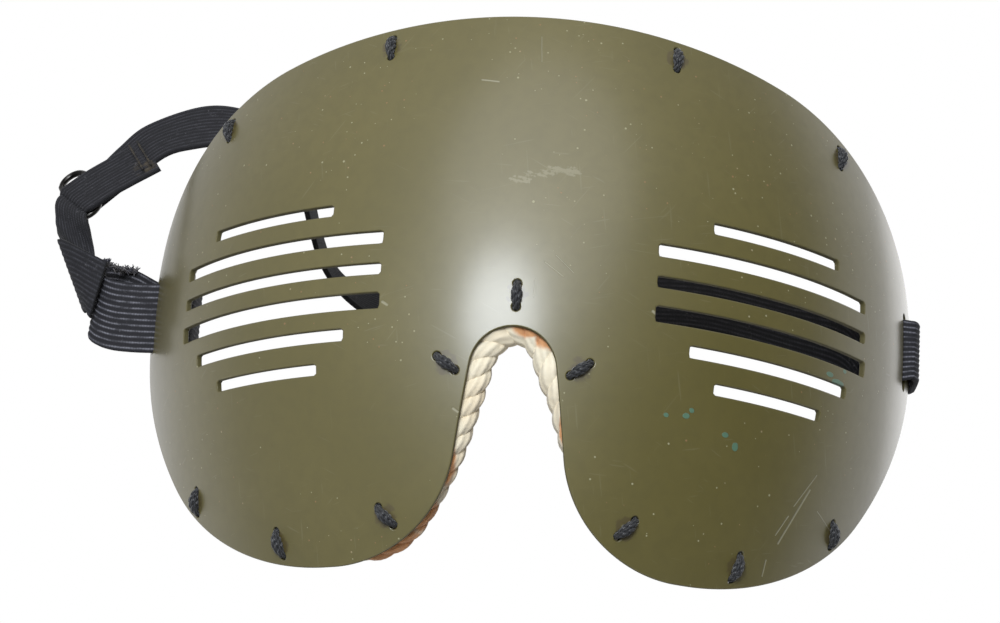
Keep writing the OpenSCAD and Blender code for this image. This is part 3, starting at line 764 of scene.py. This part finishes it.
# %% [markdown]
# ## Shader helpers
# Finishes are worked out from the place on the object and from the attributes that the
# meshes carry. A few short functions do the work: a smooth step, a mix of two colours, noise,
# a spot, a scratch, and the largest of several.

# %% Shader helpers
def read(at, name, get="Fac"):
    """An attribute that the mesh carries."""
    return at.node("ShaderNodeAttribute", get=get, attribute_name=name)


def most(values):
    """The largest of several sums."""
    first, *rest = values
    for value in rest:
        first = first.math("MAXIMUM", value)
    return first


def ramp(value, low, high):
    """0 below low, 1 above high, smooth between."""
    return value.node("ShaderNodeMapRange", {"Value": value, "From Min": low, "From Max": high},
                      interpolation_type="SMOOTHSTEP")


def mix(factor, a, b):
    """Colours a and b mixed; indices 6 and 7 are the colour inputs of a Mix node."""
    put = {0: factor, 6: a if isinstance(a, Sock) else (*a, 1),
           7: b if isinstance(b, Sock) else (*b, 1)}
    return factor.node("ShaderNodeMix", put, get=2, data_type="RGBA")


def noise(at, scale, detail=2.0, stretch=None):
    if stretch:
        at = at.vector("MULTIPLY", stretch)
    return at.node("ShaderNodeTexNoise", {"Vector": at, "Scale": scale, "Detail": detail})


def spots(at, places):
    """1 in ellipsoids of the given centres and radii in millimetres, fading to 0 outside."""
    return most([1.0 - ramp(at.vector("SUBTRACT", Vector(centre) * MM)
                            .vector("DIVIDE", Vector(radii) * MM).vector("LENGTH", get=1),
                            0.35, 1.0) for centre, radii in places])


def scratch(at, a, b, width):
    """1 on the line from a to b in the x-z view, width in millimetres."""
    a, b = Vector((a[0], 0, a[1])) * MM, Vector((b[0], 0, b[1])) * MM
    off = at.vector("MULTIPLY", (1, 0, 1)).vector("SUBTRACT", a)
    t = off.vector("DOT_PRODUCT", (b - a) / (b - a).length_squared, get=1)
    run = at.node("ShaderNodeVectorMath", {0: b - a, "Scale": t.math("MULTIPLY", 1.0, clamp=True)},
                  operation="SCALE")
    gap = off.vector("DISTANCE", run, get=1)
    return 1.0 - ramp(gap, 0.3 * width * MM, width * MM)


def finish(name, rough, **constants):
    """A material with its Principled shader; constants go on the shader's own sockets."""
    m = bpy.data.materials.new(name)
    m.use_nodes = True
    shader = m.node_tree.nodes["Principled BSDF"]
    shader.inputs["Roughness"].default_value = rough
    for key, value in constants.items():
        shader.inputs[key.replace("_", " ")].default_value = value
    return m, shader, Sock(m.node_tree).node("ShaderNodeTexCoord", get="Object")


def plug(shader, **sockets):
    for key, value in sockets.items():
        value.tree.links.new(value.socket, shader.inputs[key.replace("_", " ")])


def bump(height, distance):
    return height.node("ShaderNodeBump", {"Height": height, "Distance": distance * MM})


def wave(value):
    """From 0 to 1 and back once for each whole step of value."""
    return (value * (2 * math.pi)).math("SINE") * 0.5 + 0.5

# %% [markdown]
# ## Olive paint
# Wartime olive drab was sprayed thinly on the pressed steel. It is satin, a little uneven,
# and full of pale specks and fine scratches from use. Rust creeps out from the needle holes,
# where the paint was broken, and there are a few drops of green-blue paint on the cheek.

# %% Paint material
olive, shader, at = finish("olive_paint", 0.4, IOR=1.6, Coat_Weight=0.8,
                           Coat_Roughness=0.24, Coat_IOR=1.5)
cloud = noise(at, 30, 3)
fine = noise(at, 420, 3)
color = mix(ramp(cloud, 0.3, 0.7), (0.119, 0.100, 0.023), (0.138, 0.116, 0.031))
color = mix(ramp(fine, 0.35, 0.75) * 0.3, color, (0.099, 0.085, 0.021))


def specks(scale, radius, share, patches):
    """Small round dots, one in some of the cells of a Voronoi pattern."""
    put = {"Vector": at, "Scale": scale}
    near = at.node("ShaderNodeTexVoronoi", put, get="Distance")
    cell = at.node("ShaderNodeSeparateColor", {"Color": near.other("Color")})
    crowd = ramp(noise(at, patches, 2), 0.38, 0.68)
    dot = 1.0 - ramp(near - cell.other("Green") * radius, 0.0, 0.03)
    return dot * (cell + crowd * share).math("GREATER_THAN", 1.0)


def hairlines(turn, patches, limit):
    """Short straight scratches: noise drawn out along one way, where it peaks."""
    way = at.node("ShaderNodeMapping", {"Vector": at, "Rotation": (0, math.radians(turn), 0)})
    peak = noise(way, 1, 0, (2600, 300, 110))
    return ramp(peak, limit, limit + 0.06) * ramp(noise(at, patches, 2), 0.42, 0.62)


SCRATCHES = (
    ((5.0, -2.7), (8.5, -5.2), 0.16), ((52.2, -48.4), (58.2, -37.1), 0.2),
    ((51.6, -47), (54, -43), 0.14), ((49.4, -54.8), (50.0, -51.8), 0.16),
    ((55, -41), (59.5, -34), 0.1), ((-25.6, -10.8), (-24.7, -11.4), 0.35),
    ((25.8, -10.1), (26.7, -10.8), 0.4), ((-10.8, -31.1), (-9.9, -31.7), 0.3),
    ((60, -40.5), (64, -44), 0.12), ((-9.5, 35.4), (-6.2, 35.0), 0.22),
    ((7.0, -1.2), (10.5, -4.4), 0.12), ((1.5, 46), (1.9, 40), 0.1), ((3.2, -9.5), (3.4, -6.2), 0.1))
dots = most([specks(420, 0.10, 0.42, 26), specks(900, 0.18, 0.5, 33)])
hairs = most([hairlines(*way) for way in ((8, 40, 0.78), (62, 47, 0.79), (-35, 36, 0.79),
                                          (88, 52, 0.79), (-74, 43, 0.79))])
marks = most([scratch(at, *line) for line in SCRATCHES])
scuff = spots(at, (((7.5, -58, 16.2), (6, 8, 1.9)), ((-0.5, -59, 13.8), (4, 8, 1.7)),
                   ((3, -58, 15.2), (6, 8, 1.6))))
streak = noise(at.node("ShaderNodeMapping", {
    "Vector": at, "Rotation": (0, math.radians(-12), 0)}), 1, 3, (260, 300, 2200))
scuff = ramp(scuff * streak * noise(at, 1300, 3), 0.19, 0.27)
tint = ramp(noise(at, 300, 0), 0.52, 0.6)
color = mix(dots * 0.8, color, mix(tint, (0.42, 0.40, 0.24), (0.30, 0.17, 0.07)))
color = mix(hairs * 0.16, color, (0.30, 0.28, 0.18))
outside = read(at, "front")
color = mix(most([marks, scuff * 0.45]) * outside * 0.6, color, (0.42, 0.40, 0.28))
drops = spots(at, (((63.0, -29.3, -15.3), (2.6, 3, 1.0)), ((40.7, -45.5, -31.0), (1.0, 1.4, 0.7)),
                   ((42.7, -43.7, -32.8), (0.9, 1.4, 1.2)), ((61.2, -31.5, -14.2), (1.6, 1.6, 0.7)),
                   ((43.6, -43, -29.5), (0.6, 1, 0.6)), ((33.0, -50, -28.8), (1.0, 1.4, 0.8)),
                   ((34.0, -49.5, -27.6), (0.8, 1.2, 0.7)),
                   ((29.2, -51.5, -29.2), (0.7, 1.2, 0.6)), ((64.5, -28, -12.5), (0.7, 1, 0.6))))
drops = ramp(drops * (0.2 + noise(at, 900, 4) * 1.5), 0.36, 0.5)
color = mix(drops * 0.85, color, (0.10, 0.22, 0.15))
roll = read(at, "roll")
# Painted shade: the walls of the openings and the plate's edge are darkened in colour.
wall = ramp(roll, 0.3, 0.95)
worn = ramp(roll, 0.1, 0.5) * (1.0 - wall) * ramp(noise(at, 260, 3), 0.45, 0.62)
color = mix(wall * 0.6, color, (0.050, 0.042, 0.013))
color = mix(worn * 0.5, color, (0.17, 0.15, 0.09))
RUST_R = 4.2
sewn = [(0, nose_top[1])] + [(side * u, z) for u, z, turn in SIDE_STITCHES.values()
                             for side in (-1, 1)]
rust = spots(at, [(skin(u / DEGREE, np.float64(z), 0), (RUST_R,) * 3) for u, z in sewn])
rust = ramp(rust * (noise(at, 700, 4) + 0.1), 0.42, 0.58)
color = mix(rust * 0.5, color, (0.06, 0.038, 0.018))
smear = noise(at, 22, 4)
rough = 0.41 + smear * 0.14 + fine * 0.05 + dots * 0.2 + marks * 0.12 + wall * 0.3
lumps = noise(at, 14, 1) + fine * 0.010 + noise(at, 1500, 2) * 0.0022
plug(shader, Base_Color=color, Roughness=rough, Coat_Weight=0.75 * (1.0 - wall) + 0.02,
     Normal=bump(lumps - marks * 0.04 - worn * 0.03 + dots * 0.02 + drops * 0.05, 1.6))

# %% [markdown]
# ## Cotton rope
# The rope is undyed cotton, cream, with rust stains where steel and wet cotton met. Its yarns
# are too fine to model, so a wave round and along each strand draws them in relief, and
# darkens the grooves between them in colour as painted shade.

# %% Rope material
def round_strand(at):
    """How far round a strand a point lies, from the place on its round section."""
    x = at.node("ShaderNodeSeparateXYZ", {0: read(at, "around", "Vector")})
    return x.other("Y").math("ARCTAN2", x) * (0.5 / math.pi)


cotton, shader, at = finish("cotton_rope", 0.92, Sheen_Weight=0.25, Sheen_Roughness=0.6)
yarn = wave(round_strand(at) * 7.0 + read(at, "along") * 420.0)
hair = noise(at, 900, 4)
color = mix(ramp(noise(at, 70, 3), 0.35, 0.7), (1.0, 0.91, 0.71), (0.94, 0.80, 0.58))
# Painted shade: the grooves between yarns are darkened in colour.
color = mix((1.0 - yarn) * 0.16, color, (0.66, 0.55, 0.36))
color = mix(ramp(hair, 0.5, 0.8) * 0.35, color, (0.93, 0.88, 0.74))
stain = spots(at, (((2.6, -55.0, -15.0), (5.2, 8, 3.0)), ((6.2, -55, -17.0), (3.4, 8, 3.4)),
                   ((9.6, -53, -25.5), (1.8, 6, 3.6)), ((-12.0, -49, -39), (3.0, 9, 7.5)),
                   ((-16, -46, -47.5), (4.2, 9, 7.5)), ((-22, -42, -54.5), (9, 10, 6)),
                   ((10.4, -52, -32), (1.8, 6, 6))))
stain = ramp(stain * (noise(at, 420, 5) * 1.5 + 0.25), 0.16, 0.66)
color = mix(stain * 0.85, color, (0.70, 0.27, 0.065))
plug(shader, Base_Color=color, Normal=bump(yarn * 0.6 + hair * 0.7, 0.26))

# %% [markdown]
# ## Black threads
# The stitches are black waxed thread with a dull shine, so their roughness follows the plies;
# their colour is lighter on each ply's crest as painted sheen and darker between as painted shade.
# The sewing on the band is finer and has browned, and its rows are simple enough for the CAD
# piece itself to be kept, with this finish on it.

# %% Thread material
black_thread, shader, at = finish("black_thread", 0.5, Sheen_Weight=0.2)
ply = wave(round_strand(at) * 4.0 + read(at, "along") * 1500.0)
# Painted sheen and shade: each ply is lighter on its crest and darker between plies.
color = mix(ply, (0.006, 0.006, 0.008), (0.026, 0.028, 0.034))
color = mix(ramp(noise(at, 700, 3), 0.58, 0.78) * 0.4, color, (0.08, 0.078, 0.075))
plug(shader, Base_Color=color, Roughness=0.38 + ply * 0.25, Normal=bump(ply, 0.12))

# %% Sewing thread material
sewing, shader, at = finish("sewing_thread", 0.7)
browned = ramp(noise(at, 900, 3), 0.35, 0.7)
color = mix(browned, (0.010, 0.009, 0.009), (0.06, 0.048, 0.032))
plug(shader, Base_Color=color, Normal=bump(noise(at, 1500, 2), 0.15))

# %% [markdown]
# ## Ribbed elastic, as a finish
# The elastic is charcoal with grey lint. Its rib crests are paler, partly where the cover has
# worn and partly as painted highlight. The ribs are in the mesh, so the finish reads them from
# its attributes. The loops are stretched more, which shows as thinner crests; their crests are
# also paler, with more painted highlight.

# %% Elastic materials
KNIT = 0.6


def elastic_finish(name, groove, crest, sharp):
    m, shader, at = finish(name, 0.85, Sheen_Weight=0.03, Sheen_Roughness=0.5)
    rib, along, across = (read(at, k) for k in ("rib", "along", "across"))
    knit = wave(along * (1 / KNIT))
    fuzz = noise(at, 1400, 3)
    line = at.node("ShaderNodeCombineXYZ", {"X": along * 0.35, "Y": across * 9.0})
    broken = ramp(noise(line, 1, 3), 0.32, 0.62)
    # Paler crests: partly wear, partly painted highlight.
    top = (rib ** sharp) * (0.15 + knit * 0.3 + fuzz * 0.9) * (0.2 + broken * 1.0)
    color = mix(top.math("MINIMUM", 1.0), groove, crest)
    lint = ramp(fuzz, 0.62, 0.72) * ramp(noise(at, 240, 2), 0.45, 0.7)
    color = mix(lint * 0.5, color, (0.17, 0.165, 0.18))
    worn = spots(at, [((-86, 12, 36), (3.6, 9, 4.0))])
    worn = worn * ramp(noise(at, 420, 3), 0.42, 0.6)
    color = mix(worn * 0.5, color, (0.13, 0.10, 0.055))
    plug(shader, Base_Color=color,
         Normal=bump(rib * 0.5 + knit * rib * 0.25 + fuzz * 0.4, 0.25))
    return m


elastic = elastic_finish("ribbed_elastic", (0.006, 0.006, 0.009), (0.045, 0.045, 0.056), 2.5)
elastic_loop = elastic_finish("loop_elastic_wear_and_highlight", (0.009, 0.009, 0.013), (0.23, 0.23, 0.27),
                              5.0)

# %% [markdown]
# ## Loose fibre and blackened wire
# The fibres are dull and dusty. The wire is steel with a thin black finish that has rubbed
# paler in places, so it stays a metal and only its colour and roughness vary.

# %% Fibre and wire materials
fibre, shader, at = finish("loose_fibre", 0.85, Sheen_Weight=0.3)
color = mix(ramp(noise(at, 500, 3), 0.35, 0.7), (0.015, 0.015, 0.03), (0.12, 0.11, 0.11))
plug(shader, Base_Color=color)
wire_black, shader, at = finish("blackened_wire", 0.35, Metallic=1.0)
wear = ramp(noise(at, 400, 3), 0.45, 0.7)
plug(shader, Base_Color=mix(wear, (0.025, 0.024, 0.023), (0.11, 0.105, 0.10)),
     Roughness=0.28 + wear * 0.2)

# %% [markdown]
# ## The rope and the thread take their form
# Both come out of the cord tree. The rope has a whole number of turns, so that it closes
# on itself, and bulges a little in the nose notch.

# %% Rope strands
BULGE_R = 4.5
bulge = sum(size * np.exp(-((rope_line[:, 0] - x) / BULGE_R)**2
                          - ((rope_line[:, 2] - z) / BULGE_R)**2)
            for x, z, size in ((-2.5, -16.5, 0.2), (9, -22, 0.2), (11, -30, 0.1)))
rope = make_cord("rim_rope_strands", rope_line, 1 + bulge, Strands=3, Turns=float(rope_turns),
                 Strand_radius=1.88 * MM, Strand_offset=1.29 * MM, Points=rope_turns * 20,
                 Sides=16, Finish=cotton)

# %% [markdown]
# The slide's wire is the same kind of cord with a single strand and no twist.

# %% Wire
slide_wire = make_cord("slide_wire", smooth_line(slide_line, 0.4, True)[0], 1.0, Strands=1,
                       Turns=0.0, Strand_radius=WIRE_D / 2 * MM, Strand_offset=0.0,
                       Points=120, Sides=14, Finish=wire_black)
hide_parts("wire_slide")
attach(slide_wire, "slide")

# %% [markdown]
# A stitch is a bundle of waxed thread, fat in the middle where it lies on the paint and full
# in its holes. Its path is drawn flat, across the stitch and out of the plate, and then laid
# on the steel at each place.

# %% Stitches
def stitch_frame(u, z, turn, side):
    a = side * u / DEGREE
    n = skin_normal(a, np.float64(z))
    level = np.array([cos(a), sin(a), 0])
    rise = np.cross(n, level)
    x = level * side * cos(turn) + rise * sin(turn)
    return skin(a, np.float64(z), 0), x, n


THREAD_R, WRAP = 0.7, 0.75
KNEE = -(PLATE_T + GAP)
BACK = -(PLATE_T + GAP + ROPE_D + GAP + THREAD_R)


def stitch_path(reach):
    """Across and out: over the front, down a hole, round or through the rope, and back."""
    e = STITCH_PITCH / 2
    front = [(-e, -0.5), (-e * 0.96, 0.05), (-e * 0.72, 0.42), (-e * 0.35, 0.62), (0, 0.68),
             (e * 0.35, 0.62), (e * 0.72, 0.42), (e * 0.96, 0.05), (e, -0.5), (e, KNEE)]
    if reach == 0:
        low, r = KNEE - ROPE_D / 2, ROPE_D / 2 + WRAP
        turn = math.degrees(math.asin(e / r))
        back = [(r * sin(q), low + r * cos(q)) for q in np.linspace(turn, 360 - turn, 14)]
    else:
        back = [((e + reach) / 2, (KNEE + BACK) / 2), (reach, BACK + 0.6),
                (reach - 0.9, BACK), (0, BACK), (-e + 0.8, BACK), (-e, BACK + 0.8)]
    return front + back + [(-e, KNEE)]


STITCHES = {"nose_top": (nose_top, 1, 5.4)}
REACH = {("nose", -1): 5.2, ("nose", 1): 4.4, ("cheek_inner", -1): 2.6}
for place, where in SIDE_STITCHES.items():
    for side, word in ((-1, "left"), (1, "right")):
        STITCHES[f"{place}_{word}"] = (where, side, REACH.get((place, side), 0))
stitches = []
for name, ((u, z, turn), side, reach) in STITCHES.items():
    origin, x_way, n_way = stitch_frame(u, z, turn, side)
    flat, _ = smooth_line(stitch_path(reach), 0.3, True)
    line = origin + flat[:, :1] * x_way + flat[:, 1:] * n_way
    front = np.clip((flat[:, 1] + 0.2) / 0.8, 0, 1)
    hole = np.clip(-flat[:, 1] / 0.4, 0, 1)
    middle = np.cos(flat[:, 0] / STITCH_PITCH * math.pi).clip(0, 1)
    swell = 0.86 + 0.24 * hole + 0.62 * front * middle
    cord = make_cord("thread_" + name, line, swell, Strands=4, Turns=6.0,
                     Strand_radius=0.36 * MM, Strand_offset=0.42 * MM, Points=170, Sides=8,
                     Finish=black_thread)
    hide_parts("stitch_" + name)
    stitches.append(cord)

# %% [markdown]
# ## Finishes and bodies
# Each piece stands for its CAD node. The plate, rope, loops, tuft and stitches ride on the
# mask's body; the two headband lengths are not put on a body, and their place is baked in.
# The cords already carry their finish. The rows of sewing are the CAD's own.

# %% Assign and ride
for obj, cad, place, mat in (
        (plate, "shell", "plate", olive), (rope, "rim_rope", "rope", None),
        (left_loop, "left_loop", "elastic", elastic_loop),
        (right_loop, "right_loop", "elastic", elastic_loop),
        (fray, "left_loop_fray", "elastic", fibre),
        (headband_long, "headband_long", "elastic", elastic),
        (headband_short, "headband_short", "elastic", elastic)):
    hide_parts(cad)
    if mat:
        obj.data.materials.append(mat)
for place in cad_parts["headband_sewing"].material_slots:
    place.material = sewing
for obj in [plate, rope, left_loop, right_loop, fray] + stitches:
    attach(obj, "mask")
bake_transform(headband_long)
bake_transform(headband_short)

# %% [markdown]
# ## Light and backdrop
# The photograph shows the mask against plain white. The world is white to the camera and
# behind the mask, where it shows in the paint at the side edges. The room in front of the
# mask is darker, so that the gloss doesn't hide the paint's colour.

# %% World
world = bpy.data.worlds.new("world")
bpy.context.scene.world = world
world.use_nodes = True
start = Sock(world.node_tree)
bg = world.node_tree.nodes["Background"]
ray, gloss, through = (start.node("ShaderNodeLightPath", get=f"Is {k} Ray")
                       for k in ("Camera", "Glossy", "Transmission"))
facing = start.node("ShaderNodeTexCoord", get="Generated")
way_x, way_y, way_z = (start.node("ShaderNodeSeparateXYZ", {0: facing}, get=k) for k in "XYZ")
high = facing.vector("DOT_PRODUCT", (-0.6, -0.1, 0.6), get=1)
behind = ramp(way_y, -0.05, 0.4)
front = 0.08 + ramp(high, -0.5, 0.7) * 0.5
wall_dark = ramp(-way_x, 0.25, 0.5) * ramp(way_z, 0.17, 0.28) * 0.85
room = front + (1.0 - front) * behind * (1.0 - wall_dark)
soft = 0.025 + ramp(high, -0.4, 0.9) * 0.255
shown = most([ray, through])
level = shown + (1.0 - shown) * (gloss * room + (1.0 - gloss) * soft)
start.tree.links.new(level.socket, bg.inputs["Strength"])
bg.inputs["Color"].default_value = (1, 1, 1, 1)

# %% [markdown]
# One broad soft light stands in front, just above the eye line, and draws the bright patch
# over the nose. A weaker and larger one above it fills the brow, and a third behind the right
# edge picks that edge out. The pale floor lies well below the mask.

# %% Lamps and floor
def aimed(name, azimuth, elevation, far, radius, radiance, color=(1, 1, 1)):
    """A disk lamp turned to the mask; azimuth 0 is straight ahead of it, left is minus."""
    data = bpy.data.lights.new(name, "AREA")
    data.shape, data.size, data.color = "DISK", 2 * radius, color
    data.energy = radiance * math.pi * math.pi * radius**2
    way = Vector((sin(azimuth) * cos(elevation), -cos(azimuth) * cos(elevation), sin(elevation)))
    lamp = add_object(name, data)
    lamp.location = Vector((0, -0.05, -0.01)) + way * far
    lamp.rotation_mode = "QUATERNION"
    lamp.rotation_quaternion = (-way).to_track_quat("-Z", "Y")


aimed("soft_front", -7, 6, 0.9, 0.17, 20.5, (0.90, 0.95, 1))
aimed("soft_high", 2, 30, 0.85, 0.42, 1.65)
aimed("edge_right", 152, 12, 1.0, 0.30, 0.8)
FLOOR_Z = -380
floor = make_mesh("floor", [(x, y, FLOOR_Z) for x, y in ((-420, -300), (420, -300), (420, 540),
                                                         (-420, 540))], [(0, 1, 2, 3)])
pale, shader, at = finish("pale_floor", 0.9)
plug(shader, Base_Color=mix(noise(at, 3), (0.84, 0.84, 0.84), (0.87, 0.87, 0.87)))
floor.data.materials.append(pale)
bpy.context.scene.view_settings.view_transform = "Standard"
